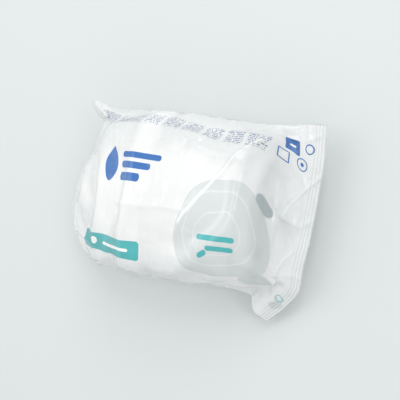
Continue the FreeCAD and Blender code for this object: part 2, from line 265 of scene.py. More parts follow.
def choose(piece, kind, mask):
    """Selects just the masked vertices, edges or faces, for the edit-mode operators."""
    only(piece)
    bpy.ops.object.mode_set(mode="EDIT")
    bpy.ops.mesh.select_mode(type=kind)
    bpy.ops.mesh.select_all(action="DESELECT")
    bpy.ops.object.mode_set(mode="OBJECT")
    items = {"VERT": piece.data.vertices, "EDGE": piece.data.edges, "FACE": piece.data.polygons}[kind]
    items.foreach_set("select", np.asarray(mask, dtype=bool))
    bpy.ops.object.mode_set(mode="EDIT")


web = points_of(film.data)
on_rim = (np.abs(web[:, 0]) > LONG / 2 - MM / 10) | (np.abs(web[:, 1]) > WIDE / 2 - MM / 10)
choose(film, "VERT", on_rim)
bpy.ops.mesh.remove_doubles(threshold=3 * APART)
bpy.ops.object.mode_set(mode="OBJECT")
web = points_of(film.data)
kept_web = film.data.attributes.new("web", "FLOAT_VECTOR", "POINT")
kept_web.data.foreach_set("vector", web.ravel())
print("flat film:", len(web), "points, loose edges:", sum(edge.is_loose for edge in film.data.edges))

# %% [markdown]
# ## Where the end seals lie
#
# The crimped seals are the stiffest lines of the pouch: the press bonds both sheets there. They hold the
# curve that packing gave them, so each is given as a line of a few points, and the simulation only
# finds the film between them. A seal's band hangs down from its inner edge by a droop angle. Places are
# measured from the cartridge's axis, which lies a little beside the frame's origin.

# %% Seal lines
# place across the web, and then X, Y, Z of the band's outer edge, all in mm
head_line = [
    (71, -85, 55, 28), (57, -75, 47, 30), (46, -66, 41, 30), (34, -67, 32, 29), (22, -75, 21, 28),
    (4, -84, 5, 27), (-20, -88, -18, 26), (-38, -86, -36, 26), (-54, -74, -50, 25), (-71, -58, -61, 24),
]
foot_line = [
    (71, 85, 59, 22), (50, 87.5, 38, 22), (27, 88, 15, 21), (8, 88, -4, 20),
    (-18, 87, -30, 20), (-30, 87, -41, 18), (-50, 79, -56, 12), (-71, 68, -70, 7),
]
# how far the bands droop in degrees, and how square they lie to X: 0 follows the line, 1 is square
HEAD_DROOP = 44
FOOT_DROOP = 34
HEAD_SQUARE = 0.75
FOOT_SQUARE = 0.2


def on_line(line, across_web):
    """Smooth place on a seal line (a cubic through its points)."""
    knots = np.array(sorted(line)) * MM
    steps = knots[:, 0]
    slopes = np.gradient(knots[:, 1:], steps, axis=0)
    index = np.clip(np.searchsorted(steps, across_web) - 1, 0, len(steps) - 2)
    width = steps[index + 1] - steps[index]
    t = ((across_web - steps[index]) / width)[:, None]
    width = width[:, None]
    start, end = knots[index, 1:], knots[index + 1, 1:]
    return np.array(AXIS) + (
        (2 * t**3 - 3 * t**2 + 1) * start + (t**3 - 2 * t**2 + t) * width * slopes[index]
        + (3 * t**2 - 2 * t**3) * end + (t**3 - t**2) * width * slopes[index + 1]
    )


def unit(vectors):
    """Rows of length one."""
    return vectors / np.maximum(np.linalg.norm(vectors, axis=-1, keepdims=True), 1e-12)


def seal_frame(line, across_web, end, droop, square):
    """Outer edge, direction into the pouch and outer normal of a seal's band."""
    edge = on_line(line, across_web)
    step = 0.5 * MM
    after = on_line(line, np.minimum(across_web + step, WIDE / 2))
    before = on_line(line, np.maximum(across_web - step, -WIDE / 2))
    run = unit(after - before)
    plan = unit(np.stack([run[:, 1], -run[:, 0], np.zeros(len(run))], axis=1)) * -end
    plan = unit(plan * (1 - square) + np.array([-end, 0, 0]) * square)
    slope = math.radians(droop)
    inward = plan * math.cos(slope) + np.array([0, 0, math.sin(slope)])
    normal = unit(np.cross(run, inward)) * end
    normal *= np.sign(normal[:, 2:3])
    return edge, inward, normal


for title, line in (("head", head_line), ("foot", foot_line)):
    track = on_line(line, np.linspace(-WIDE / 2, WIDE / 2, 100))
    print(title, "seal length in mm:", round(np.linalg.norm(np.diff(track, axis=0), axis=1).sum() / MM, 1))

# %% [markdown]
# ## Blowing the flat pattern up
#
# The simulation starts from a rough bag round the cartridge: ovals in the middle that flatten towards
# the seals. It needn't be right, only free of tangles, because the flat sheets give the film's true lengths.

# %% Rough bag
# X, far side, near side, half height and height of the middle of the rough bag's ovals, all in mm
bag_ovals = [
    (-88, 58, 60, 1, 27), (-75, 53, 58, 5, 33), (-62, 51, 56, 12, 36), (-50, 51, 55, 20, 36),
    (-18, 52, 54.5, 36, 35), (0, 51.5, 54, 35, 34), (50, 49.5, 47.5, 33, 31), (65, 54, 50, 17, 28),
    (80, 62, 60, 3, 25),
]
# the bag is shorter than the flat film, blends into its seals and bulges beside them
BAG_SHRINK = 80 / 90
HALF_SEAL = 0.2 * MM
BLEND = 32 * MM
BULGE_REACH = 30 * MM
BULGE = 0.3
BEYOND_SLOPE = 0.4
SIDE_ROUNDNESS = 0.8
TOP_ROUNDNESS = 0.85
LOWEST = 0.8 * MM


def rough_bag(web):
    """Start shape for points of the flat pattern."""
    x, y, side = web[:, 0], web[:, 1], np.sign(np.round(web[:, 2] / MM, 3))
    from_seal = LONG / 2 - SEAL - np.abs(x)
    angle = np.pi * (0.5 - y / WIDE)
    cosine, sine = np.cos(angle), np.clip(np.sin(angle), 0, 1)
    share = np.clip(from_seal / BLEND, 0, 1)
    share = (share * share * (3 - 2 * share))[:, None]
    table = np.array(bag_ovals) * MM
    along = x * BAG_SHRINK
    far, near, half_height, middle = (np.interp(along, table[:, 0], column) for column in table[:, 1:].T)
    oval_y = np.where(cosine > 0, far, near) * np.sign(cosine) * np.abs(cosine) ** SIDE_ROUNDNESS
    oval_z = middle + side * half_height * sine**TOP_ROUNDNESS
    body = np.array(AXIS) + np.stack([along, oval_y, np.maximum(oval_z, LOWEST)], axis=1)
    start = np.empty_like(body)
    seals = ((-1, head_line, HEAD_DROOP, HEAD_SQUARE), (1, foot_line, FOOT_DROOP, FOOT_SQUARE))
    for end, line, droop, square in seals:
        here = np.sign(x + 1e-9) == end
        edge, inward, normal = seal_frame(line, y[here], end, droop, square)
        depth = (LONG / 2 - np.abs(x[here]))[:, None]
        bulge = np.clip(from_seal[here], 0, BULGE_REACH) * sine[here] * BULGE
        beyond = np.clip(depth - SEAL, 0, None) * np.array([1, 1, BEYOND_SLOPE])
        lift = side[here] * (HALF_SEAL * np.minimum(1, depth[:, 0] / MM) + bulge)
        band = edge + inward * (np.minimum(depth, SEAL) + beyond) + normal * lift[:, None]
        start[here] = band * (1 - share[here]) + body[here] * share[here]
    return start


in_band = np.abs(web[:, 0]) > LONG / 2 - SEAL - MM / 10
start = rough_bag(web)
print("rough bag in mm:", np.round(start.min(0) / MM, 1), np.round(start.max(0) / MM, 1))
print("held points:", int(in_band.sum()))

# %% [markdown]
# ## Draping the film
#
# Blender's cloth works best on things about a metre large, so film, cartridge and floor go in ten times
# too big and come out again at their size. The cartridge takes part as its convex hull: a taut film
# never dips into the hollow between the dome and its ring. Shape key "flat" tells the springs how long
# they are.

# %% Hull of the cartridge and a floor for the simulation
BIG = 10
FILM_GAP = 0.6 * MM
# the cloth's floor lies a little lower; what sinks below the film's resting height is lifted afterwards
FLOOR_DROP = 1.5 * MM


def forming_hull():
    """Convex hull of both housings, at the simulation's size."""
    nothing_selected()
    for name in ("lower_housing", "upper_housing"):
        twin = nodes[name].copy()
        twin.data = twin.data.copy()
        twin.parent = None
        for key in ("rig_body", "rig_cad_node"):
            del twin[key]
        bpy.context.collection.objects.link(twin)
        twin.select_set(True)
        bpy.context.view_layer.objects.active = twin
    bpy.ops.object.join()
    hull = bpy.context.object
    bpy.ops.object.mode_set(mode="EDIT")
    bpy.ops.mesh.select_all(action="SELECT")
    bpy.ops.mesh.convex_hull(delete_unused=True, use_existing_faces=False)
    bpy.ops.mesh.dissolve_limited(angle_limit=math.radians(2))
    bpy.ops.mesh.quads_convert_to_tris()
    bpy.ops.object.mode_set(mode="OBJECT")
    hull.scale = (BIG, BIG, BIG)
    bpy.ops.object.transform_apply(location=False, rotation=False, scale=True)
    return hull


def as_obstacle(obstacle):
    """Makes the cloth stay outside a piece, with a small gap."""
    only(obstacle)
    bpy.ops.object.modifier_add(type="COLLISION")
    obstacle.collision.thickness_outer = FILM_GAP * BIG
    obstacle.collision.thickness_inner = 0.2
    obstacle.collision.cloth_friction = 8
    obstacle.collision.damping = 0.5


# %% The drape
FRAMES = 34


def drape(film, web, start, held):
    """Lets the film settle round the cartridge and leaves the result in its mesh."""
    hull = forming_hull()
    as_obstacle(hull)
    nothing_selected()
    bpy.ops.mesh.primitive_plane_add(size=8, location=(0, 0, -FLOOR_DROP * BIG))
    table = bpy.context.object
    as_obstacle(table)
    only(film)
    put_points(film.data, start * BIG)
    film.shape_key_add(name="Basis")
    flat_key = film.shape_key_add(name="flat")
    flat_key.data.foreach_set("co", (web * BIG).ravel())
    group = film.vertex_groups.new(name="sealed")
    group.add([int(i) for i in np.flatnonzero(held)], 1, "REPLACE")
    bpy.ops.object.modifier_add(type="CLOTH")
    cloth = film.modifiers[-1]
    settings = cloth.settings
    # film hardly stretches but bends easily; at three tenths of its weight the bag stays full
    settings.quality = 8
    settings.mass = 0.05
    settings.tension_stiffness = 80
    settings.compression_stiffness = 20
    settings.shear_stiffness = 60
    settings.bending_stiffness = 2
    settings.tension_damping = 25
    settings.compression_damping = 25
    settings.shear_damping = 25
    settings.bending_damping = 1
    settings.air_damping = 1
    settings.rest_shape_key = flat_key
    settings.vertex_group_mass = "sealed"
    settings.effector_weights.gravity = 0.3
    cloth.collision_settings.collision_quality = 3
    cloth.collision_settings.distance_min = 0.003
    cloth.collision_settings.friction = 5
    cloth.point_cache.frame_end = FRAMES
    for number in range(1, FRAMES + 1):
        bpy.context.scene.frame_set(number)
    only(film)
    bpy.ops.object.convert(target="MESH")
    bpy.context.scene.frame_set(1)
    for tool in (hull, table):
        bpy.data.objects.remove(tool)
    film.vertex_groups.clear()
    return points_of(film.data) / BIG


shape = drape(film, web, start, in_band)
put_points(film.data, shape)
print("draped film in mm:", np.round(shape.min(0) / MM, 1), np.round(shape.max(0) / MM, 1))

# %% [markdown]
# ## Resting and smoothing the film
#
# The back seam's fin lies between the film and the floor, so the underside comes to rest at the fin's
# height. One subdivision smooths the drape's facets. How far each point stands off the cartridge is kept as
# an attribute, because free film folds and lets light through, and taut film doesn't.

# %% Rest the underside above its seam
FIN_STACK = 0.55 * MM
shape[:, 2] = np.maximum(shape[:, 2], FIN_STACK)
put_points(film.data, shape)


def finish_with(piece, kind, **settings):
    """Adds one modifier with its settings and applies it."""
    only(piece)
    bpy.ops.object.modifier_add(type=kind)
    modifier = piece.modifiers[-1]
    for name, value in settings.items():
        setattr(modifier, name, value)
    bpy.ops.object.modifier_apply(modifier=modifier.name)


finish_with(film, "SUBSURF", levels=1, render_levels=1)
print("film after smoothing:", len(film.data.polygons), "faces")

# %% How far the film stands off the cartridge
housing_points = []
housing_faces = []
for name in ("lower_housing", "upper_housing"):
    base = len(housing_points)
    housing_points += [tuple(vertex.co) for vertex in nodes[name].data.vertices]
    housing_faces += [tuple(base + index for index in face.vertices) for face in nodes[name].data.polygons]
housings = BVHTree.FromPolygons(housing_points, housing_faces)
lift = np.array([housings.find_nearest(Vector(point))[3] for point in points_of(film.data)]) / MM


def keep_values(mesh, name, values):
    """Keeps one number for each vertex as an attribute."""
    kept = mesh.attributes.new(name, "FLOAT", "POINT")
    kept.data.foreach_set("value", values)


keep_values(film.data, "lift", lift)
print("film off the cartridge in mm, median and most:", np.round(np.median(lift), 1), np.round(lift.max(), 1))

# %% [markdown]
# ## Crumpled ends
#
# Where nothing is inside, the film is free and breaks into flat facets between straight folds. A sum of
# zigzag waves in a few directions folds a sheet just like that. Each layer gets its own, and the waves grow
# with the distance from the cartridge, so that the taut film over it stays smooth.

# %% Fold the free film
# direction in degrees, length and height in mm, and shift of each zigzag wave
ZIGZAGS = [
    (24, 31, 1.7, 0.1), (-38, 23, 1.3, 0.45), (71, 27, 1.1, 0.7), (-8, 17, 0.6, 0.25), (52, 13, 0.4, 0.6),
]
WARP = 2.5
WARP_LENGTH = 19
LAYER_TURN = 17
# in mm: lift of film that still counts as taut, further lift until it is quite free, and fade at the rims
TAUT = 3
TO_FREE = 14
RIM_FADE = 6


def crumple(places, layer):
    """Height in mm of the folded film at flat places."""
    warp = WARP * np.sin(places[:, [1, 0]] / WARP_LENGTH + layer)
    total = np.zeros(len(places))
    for degrees, length, height, shift in ZIGZAGS:
        angle = math.radians(degrees + LAYER_TURN * layer)
        way = np.array([math.cos(angle), math.sin(angle)])
        along_wave = (places + warp) @ way / length + shift * (1 + layer)
        total += height * (2 * np.abs(along_wave % 1 - 0.5) - 0.5)
    return total


def flat_places(mesh):
    """Each vertex's place on the flat film in mm, from the attribute that went through every step."""
    return rows_of(mesh.attributes["web"].data, "vector") / MM


def raised(mesh, height):
    """Every vertex's place, moved out along its normal by a height in mm."""
    return points_of(mesh) + rows_of(mesh.vertices, "normal") * (height * MM)[:, None]


flat = flat_places(film.data)
loose = np.clip((lift - TAUT) / TO_FREE, 0, 1)
from_band = np.clip(((LONG / 2 - SEAL) / MM - np.abs(flat[:, 0])) / RIM_FADE, 0, 1)
from_fold = np.clip((WIDE / 2 / MM - np.abs(flat[:, 1])) / RIM_FADE, 0, 1)
waves = np.where(flat[:, 2] > 0, crumple(flat[:, :2], 0), crumple(flat[:, :2], 1))
folds = waves * loose * from_band * from_fold
shape = raised(film.data, folds)
shape[:, 2] = np.maximum(shape[:, 2], FIN_STACK)
put_points(film.data, shape)
print("folds reach", round(float(np.abs(folds).max()), 2), "mm")

# %% [markdown]
# ## Creases
#
# Thin film that was folded in the packing machine keeps sharp creases that no soft simulation leaves.
# Each is a short path on the flat film: points near it rise along their normals, so that the crease
# stays on the surface wherever the drape put it. Past one crease the film also stands off the cartridge.

# %% Crease paths
# points on the flat film, then the ridge's height and half width, and how far the film past it stands off
creases = [
    ([(60, 42), (54, 33), (44, 17), (34, 5), (26, -1), (21, -5), (19.5, -8)], 1.5, 1.2, 1.4),
    ([(19.5, -8), (21, -11.5), (30, -12.5)], 0.5, 1.0, 0),
    ([(98, 40), (93, 35), (88, 29), (84, 22), (81, 15), (79, 8)], 0.9, 1.1, 0),
    ([(-30, -4.6), (-4, -3.4), (10, -2.6), (26, -2.4)], 0.8, 0.9, 0),
    ([(90, -6), (84, -14), (80, -24), (79, -34), (84, -44), (90, -50)], 0.9, 1.1, 0),
    ([(-88, -42), (-78, -36), (-66, -35), (-56, -38)], 1.0, 1.2, 0),
    ([(-88, 53), (-78, 47), (-68, 44), (-58, 45)], 1.2, 1.2, 0),
    ([(96, 64), (84, 59), (68, 55), (54, 48)], 0.8, 1.1, 0),
    ([(-90, 6), (-80, 4), (-70, 8), (-62, 16)], 0.8, 1.1, 0),
    ([(79, 8), (76, 0), (76, -10), (80, -24)], 0.7, 1.0, 0),
    ([(97, 14), (91, 9), (85, 9), (79, 8)], 0.7, 1.0, 0),
    ([(98, -22), (92, -20), (86, -21), (80, -24)], 0.7, 1.0, 0),
]
# in mm: height of a crease that looks fully sharp, reach of that look, and start and reach of the stand-off
SHARP_HEIGHT = 1.4
SHARP_REACH = 1.3
STAND_OFF_START = 1.5
STAND_OFF_REACH = 9


def distance_to_path(places, path):
    """Distance of flat places to a path, and on which side of it they lie."""
    best = np.full(len(places), 1e9)
    side = np.zeros(len(places))
    for start, end in zip(path[:-1], path[1:]):
        run = end - start
        share = np.clip(((places - start) @ run) / (run @ run), 0, 1)
        away = places - (start + share[:, None] * run)
        gap = np.linalg.norm(away, axis=1)
        nearer = gap < best
        best[nearer] = gap[nearer]
        side[nearer] = np.sign(run[0] * away[nearer, 1] - run[1] * away[nearer, 0])
    return best, side


def fading(gap, reach):
    """1 on a line, falling away within its reach."""
    return np.exp(-((gap / reach) ** 2))


upper = np.clip(flat[:, 2] / (APART / MM), 0, 1)
rise = np.zeros(len(flat))
sharpness = np.zeros(len(flat))
for path, height, half_width, stand_off in creases:
    gap, side = distance_to_path(flat[:, :2], np.array(path, dtype=float))
    sharpness = np.maximum(sharpness, min(1, height / SHARP_HEIGHT) * fading(gap, SHARP_REACH))
    rise += height * fading(gap, half_width)
    if stand_off:
        rise += stand_off * (side > 0) * fading(gap, STAND_OFF_REACH) * np.clip(gap / STAND_OFF_START, 0, 1)
put_points(film.data, raised(film.data, rise * upper))
# the sharpness also tells the shader where to paint a highlight along each crease
keep_values(film.data, "crease", sharpness * upper)
print("creases raise the film by up to", round(float((rise * upper).max()), 2), "mm")

# %% [markdown]
# ## Crimped end seals
#
# The heated jaws that close a flow wrap have fine teeth, which press the band into small waves across
# the pouch. Only the bands need that detail, so their edges along X are cut finer, and then both
# layers follow the same wave, three tenths of a millimetre up and down.

# %% Cut the bands finer and press the waves in
CRIMP_PITCH = 2.0
CRIMP_HEIGHT = 0.3
CRIMP_START = 1.5
ends = np.empty(len(film.data.edges) * 2, dtype=int)
film.data.edges.foreach_get("vertices", ends)
first, second = flat[ends[0::2]], flat[ends[1::2]]
band_start = (LONG / 2 - SEAL) / MM - 0.1
along_web = np.abs(first[:, 0] - second[:, 0]) > np.abs(first[:, 1] - second[:, 1])
in_seal = (np.minimum(np.abs(first[:, 0]), np.abs(second[:, 0])) > band_start) & along_web
choose(film, "EDGE", in_seal)
bpy.ops.mesh.subdivide(number_cuts=2)
bpy.ops.object.mode_set(mode="OBJECT")
flat = flat_places(film.data)
into_band = np.clip((np.abs(flat[:, 0]) - band_start) / CRIMP_START, 0, 1)
wave = CRIMP_HEIGHT * into_band * np.cos(2 * np.pi * (np.abs(flat[:, 0]) - LONG / 2 / MM) / CRIMP_PITCH)
layer = np.where(np.abs(flat[:, 2]) > 0.05, np.sign(flat[:, 2]), 1)
put_points(film.data, raised(film.data, wave * layer))
print("seal bands:", int(in_seal.sum()), "edges cut,", len(film.data.polygons), "faces now")

# %% [markdown]
# ## The web's own map
#
# A print belongs to the flat film and wrinkles with it. So the film gets a UV map that is the web laid
# flat: the printed side fills the lower half, the back the upper half, with one fold in the middle.

# %% UV map of the flat web
web_uv = film.data.uv_layers.new(name="web_uv")
loop_points = np.empty(len(film.data.loops), dtype=int)
film.data.loops.foreach_get("vertex_index", loop_points)
loop_totals = np.empty(len(film.data.polygons), dtype=int)
film.data.polygons.foreach_get("loop_total", loop_totals)
face_of_loop = np.repeat(np.arange(len(loop_totals)), loop_totals)
height_sum = np.bincount(face_of_loop, weights=flat[loop_points, 2])
on_front = (height_sum > 0)[face_of_loop]
across_share = 0.5 + flat[loop_points, 1] * MM / WIDE
uv = np.empty((len(loop_points), 2))
uv[:, 0] = 0.5 + flat[loop_points, 0] * MM / LONG
uv[:, 1] = np.where(on_front, across_share / 2, 1 - across_share / 2)
web_uv.data.foreach_set("uv", uv.ravel())
print("web map spans", np.round(uv.min(0), 3), np.round(uv.max(0), 3))

# %% [markdown]
# ## The back seam
#
# The web's two long edges are sealed together in a fin that runs down the back and is folded flat.
# It lies under the pouch, so the underside's own faces are copied, moved just below and given a thickness.

# %% Fin from the underside's faces
FIN_WIDTH = 9.0
FIN_BELOW = 0.12 * MM
FIN_THICK = 0.26 * MM
ABOVE_FLOOR = 0.02 * MM
centres = np.bincount(face_of_loop, weights=flat[loop_points, 1]) / loop_totals
centres_x = np.bincount(face_of_loop, weights=flat[loop_points, 0]) / loop_totals
under_fin = (height_sum < 0) & (centres > 0) & (centres < FIN_WIDTH) & (np.abs(centres_x) < band_start)
choose(film, "FACE", under_fin)
bpy.ops.mesh.duplicate()
bpy.ops.mesh.separate(type="SELECTED")
bpy.ops.object.mode_set(mode="OBJECT")
back_fin = next(piece for piece in bpy.context.selected_objects if piece != film)
back_fin.name = "back_fin"
only(back_fin)
bpy.ops.object.mode_set(mode="EDIT")
bpy.ops.mesh.select_all(action="SELECT")
bpy.ops.transform.shrink_fatten(value=FIN_BELOW)
bpy.ops.object.mode_set(mode="OBJECT")
finish_with(back_fin, "SOLIDIFY", thickness=FIN_THICK, offset=1)
low = points_of(back_fin.data)
low[:, 2] = np.maximum(low[:, 2], ABOVE_FLOOR)
put_points(back_fin.data, low)
print("back fin:", len(back_fin.data.polygons), "faces, lowest in mm:", np.round(low[:, 2].min() / MM, 2))

# %% [markdown]
# ## The film's wall
#
# The two sheets have no thickness yet. A wall of 0.16 mm, as in the CAD model, is laid inwards, so that
# the outer face stays where drape, creases and crimps put it.

# %% Thicken the film and shade it smooth
FILM = 0.16 * MM
finish_with(film, "SOLIDIFY", thickness=FILM, offset=-1, use_even_offset=False)
print("film wall:", len(film.data.polygons), "faces")
for piece in (film, back_fin):
    only(piece)
    bpy.ops.object.shade_smooth()

# %% [markdown]
# ## Print on the film
#
# The print is flat ink on the web, so it is drawn in millimetres on the web's own map: rounded bars, rings
# and drops, each a distance to a rounded box, in plain blue, teal and grey. One group makes them all.
# Small print is rows of short dashes, because lettering isn't part of this design.

# %% A group for one printed shape
def socket(group, name, kind, way, default=None):
    """Adds one named input or output to a node group."""
    new = group.interface.new_socket(name=name, in_out=way, socket_type=kind)
    if default is not None:
        new.default_value = default


def vectors(tree, operation, *values):
    """One Vector Math node; values are sockets or triples."""
    node = tree.nodes.new("ShaderNodeVectorMath")
    node.operation = operation
    for index, value in enumerate(values):
        if isinstance(value, tuple):
            node.inputs[index].default_value = value
        else:
            tree.links.new(value, node.inputs[index])
    return node.outputs["Value"] if operation in ("LENGTH", "DOT_PRODUCT") else node.outputs["Vector"]


def band(tree, value, low, high):
    """Smooth step from 0 at low to 1 at high."""
    node = tree.nodes.new("ShaderNodeMapRange")
    node.interpolation_type = "SMOOTHSTEP"
    tree.links.new(value, node.inputs["Value"])
    node.inputs["From Min"].default_value = low
    node.inputs["From Max"].default_value = high
    return node.outputs["Result"]


def split(tree, vector):
    """The three numbers of a vector socket."""
    node = tree.nodes.new("ShaderNodeSeparateXYZ")
    tree.links.new(vector, node.inputs[0])
    return node.outputs


def new_group(name):
    """A node group with its input and output nodes."""
    group = bpy.data.node_groups.new(name, "ShaderNodeTree")
    return group, group.nodes.new("NodeGroupInput"), group.nodes.new("NodeGroupOutput")


INK_EDGE = 0.12
printed_shape, given, made = new_group("printed_shape")
socket(printed_shape, "Place", "NodeSocketVector", "INPUT")
socket(printed_shape, "Centre", "NodeSocketVector", "INPUT")
socket(printed_shape, "Half Size", "NodeSocketVector", "INPUT", (5, 5, 0))
socket(printed_shape, "Corner", "NodeSocketFloat", "INPUT", 1)
socket(printed_shape, "Turn", "NodeSocketFloat", "INPUT", 0)
socket(printed_shape, "Ring", "NodeSocketFloat", "INPUT", 0)
socket(printed_shape, "Mask", "NodeSocketFloat", "OUTPUT")
moved = vectors(printed_shape, "SUBTRACT", given.outputs["Place"], given.outputs["Centre"])
spun = printed_shape.nodes.new("ShaderNodeVectorRotate")
spun.rotation_type = "Z_AXIS"
printed_shape.links.new(moved, spun.inputs["Vector"])
printed_shape.links.new(given.outputs["Turn"], spun.inputs["Angle"])
corner = printed_shape.nodes.new("ShaderNodeCombineXYZ")
printed_shape.links.new(given.outputs["Corner"], corner.inputs[0])
printed_shape.links.new(given.outputs["Corner"], corner.inputs[1])
core = vectors(printed_shape, "SUBTRACT", given.outputs["Half Size"], corner.outputs[0])
beyond = vectors(printed_shape, "SUBTRACT", vectors(printed_shape, "ABSOLUTE", spun.outputs[0]), core)
flat_beyond = vectors(printed_shape, "MULTIPLY", beyond, (1, 1, 0))
outside = vectors(printed_shape, "LENGTH", vectors(printed_shape, "MAXIMUM", flat_beyond, (0, 0, 0)))
parts = split(printed_shape, beyond)
inside = maths(printed_shape, "MINIMUM", maths(printed_shape, "MAXIMUM", parts[0], parts[1]), 0.0)
from_core = maths(printed_shape, "ADD", outside, inside)
distance = maths(printed_shape, "SUBTRACT", from_core, given.outputs["Corner"])
filled = band(printed_shape, distance, INK_EDGE, -INK_EDGE)
ring_inside = maths(printed_shape, "ADD", distance, given.outputs["Ring"])
is_ring = maths(printed_shape, "GREATER_THAN", given.outputs["Ring"], 0.01)
hollow = maths(printed_shape, "MULTIPLY", band(printed_shape, ring_inside, INK_EDGE, -INK_EDGE), is_ring)
printed_shape.links.new(maths(printed_shape, "SUBTRACT", filled, hollow, clamp=True), made.inputs["Mask"])

# %% A group for rows of small print
small_print, given, made = new_group("small_print")
socket(small_print, "Place", "NodeSocketVector", "INPUT")
socket(small_print, "Row Pitch", "NodeSocketFloat", "INPUT", 1.7)
socket(small_print, "Block", "NodeSocketFloat", "INPUT", 15)
socket(small_print, "Mask", "NodeSocketFloat", "OUTPUT")
parts = split(small_print, given.outputs["Place"])
row = maths(small_print, "DIVIDE", parts[1], given.outputs["Row Pitch"])
block = maths(small_print, "DIVIDE", parts[0], given.outputs["Block"])


def from_middle(tree, count):
    """How far a place lies from the middle of its row or block, as a share."""
    return maths(tree, "ABSOLUTE", maths(tree, "SUBTRACT", maths(tree, "FRACT", count), 0.5))


# ink reaches three tenths of a row's height from its middle, and four tenths of a block's width
in_row = band(small_print, from_middle(small_print, row), 0.34, 0.24)
in_block = band(small_print, from_middle(small_print, block), 0.42, 0.4)
# noise broken into strokes along each row; every row reads another line of the noise
strokes = small_print.nodes.new("ShaderNodeTexNoise")
strokes.noise_dimensions = "2D"
strokes.inputs["Scale"].default_value = 1
strokes.inputs["Detail"].default_value = 0
where = small_print.nodes.new("ShaderNodeCombineXYZ")
small_print.links.new(maths(small_print, "MULTIPLY", parts[0], 1.1), where.inputs[0])
small_print.links.new(maths(small_print, "MULTIPLY", maths(small_print, "FLOOR", row), 7.3), where.inputs[1])
small_print.links.new(where.outputs[0], strokes.inputs["Vector"])
dashes = band(small_print, strokes.outputs["Fac"], 0.44, 0.5)
lines = maths(small_print, "MULTIPLY", in_row, dashes)
small_print.links.new(maths(small_print, "MULTIPLY", lines, in_block), made.inputs["Mask"])
print("print groups:", [(group.name, len(group.nodes)) for group in (printed_shape, small_print)])

# %% What is printed, in mm on the flat film
# centre, half size, corner radius, turn in degrees and ring width (0 is filled)
DROP = math.sqrt(0.5)


def drop(x, y, radius):
    """A drop is a round with one square corner standing up from it."""
    up = (x, y + radius * DROP)
    return [((x, y), (radius, radius), radius, 0, 0), (up, (radius / 2, radius / 2), 0.1, 45, 0)]


blue_ink = [
    *drop(-42, 9, 7.4), ((-15, 15.5), (15, 1.7), 1.7, 2, 0), ((-18, 10), (12, 1.7), 1.7, 2, 0),
    ((-21, 4.5), (9, 1.7), 1.7, 2, 0), ((77, 52), (5, 5), 1.2, 8, 0), ((89, 55), (3.2, 3.2), 3.2, 0, 0.8),
    ((73, 41), (3.6, 3.6), 0.6, 8, 0.7), ((85, 44), (3.8, 3.8), 3.8, 0, 0.7),
    ((85, 44), (1.2, 1.2), 1.2, 0, 0),
]
teal_ink = [
    ((-37, -31), (30, 6.6), 2.4, 3, 0), ((46, -13), (13, 1.5), 1.5, 3, 0), ((50, -18.5), (9, 1.5), 1.5, 3, 0),
    ((39, -23), (3.4, 1.8), 1.8, 35, 0), ((91, -45), (3.6, 2.2), 2.2, -30, 0.6),
]
left_white = [
    ((-54, -31), (3, 3), 3, 0, 0), ((-30, -30.5), (15, 1.1), 1.1, 3, 0), ((77, 52), (2.2, 0.7), 0.7, 8, 0),
]
grey_ink = [
    ((47, -14), (30, 25), 24.9, 6, 0), ((70, -38), (8, 10), 7.9, -20, 0),
    ((92.5, -52), (3.5, 4.5), 1.5, -35, 0),
]
grey_rings = [((46, -12), (23, 18), 17.9, 6, 0.9), ((46, -12), (16, 11), 10.9, 6, 0.7)]
dark_ink = [((70.5, 6.5), (5.0, 3.0), 3.0, -35, 0)]
inks = (blue_ink, teal_ink, left_white, grey_ink, grey_rings, dark_ink)
print("printed shapes:", sum(len(shapes) for shapes in inks))

# %% [markdown]
# ## The film's finish
#
# Milky polypropylene a fourteenth of a millimetre thick scatters much of the light and lets the rest through:
# over the cartridge it looks nearly white, and at the empty ends the background shows. It is glossy, so
# every ridge draws a thin highlight, and along the creases a painted highlight is added: whiter colour and
# more cover. Alpha, not transmission, lets the background through, because film as thin as this doesn't
# bend light.

# %% Crinkles that both the film and its fin use
film_crinkle, given, made = new_group("film_crinkle")
socket(film_crinkle, "Place", "NodeSocketVector", "INPUT")
socket(film_crinkle, "Height", "NodeSocketFloat", "OUTPUT")
socket(film_crinkle, "Haze", "NodeSocketFloat", "OUTPUT")


def noise(tree, place, stretch, scale, detail):
    """Noise; a stretch below 1 makes its grain longer along that axis."""
    texture = tree.nodes.new("ShaderNodeTexNoise")
    tree.links.new(vectors(tree, "MULTIPLY", place, stretch), texture.inputs["Vector"])
    texture.inputs["Scale"].default_value = scale
    texture.inputs["Detail"].default_value = detail
    return texture.outputs["Fac"]


# stretch of the grain, grains per mm and detail of each noise
streaks = noise(film_crinkle, given.outputs["Place"], (0.25, 1, 1), 0.16, 3)
folds = noise(film_crinkle, given.outputs["Place"], (1, 0.45, 1), 0.09, 2)
ridged = maths(film_crinkle, "ABSOLUTE", maths(film_crinkle, "SUBTRACT", folds, 0.5))
streaked = maths(film_crinkle, "MULTIPLY", streaks, 0.6)
height = maths(film_crinkle, "SUBTRACT", streaked, maths(film_crinkle, "MULTIPLY", ridged, 1.6))
film_crinkle.links.new(height, made.inputs["Height"])
film_crinkle.links.new(noise(film_crinkle, given.outputs["Place"], (1, 1, 1), 0.05, 2), made.inputs["Haze"])

# %% Milky film with its print
MILK = (0.975, 0.982, 0.972, 1)
THIN_MILK = (0.965, 0.98, 0.975, 1)
GREY = (0.62, 0.69, 0.685, 1)
DARK = (0.48, 0.54, 0.55, 1)
TEAL = (0.09, 0.48, 0.49, 1)
BLUE = (0.055, 0.18, 0.49, 1)
SMALL_PRINT = (0.20, 0.25, 0.42, 1)
# painted highlight: the white that crease lines are mixed towards
PAINTED_CREASE_HIGHLIGHT = (0.99, 0.99, 0.99, 1)
STRIP_CENTRE = (-9, 46)
STRIP_HALF = (75, 7.2)
STRIP_LEAN = 4
PALE_INK = 0.5
PRINT_INK = 0.85
# how far crease lines are mixed towards that painted highlight
CREASE_HIGHLIGHT_SHARE = 0.5


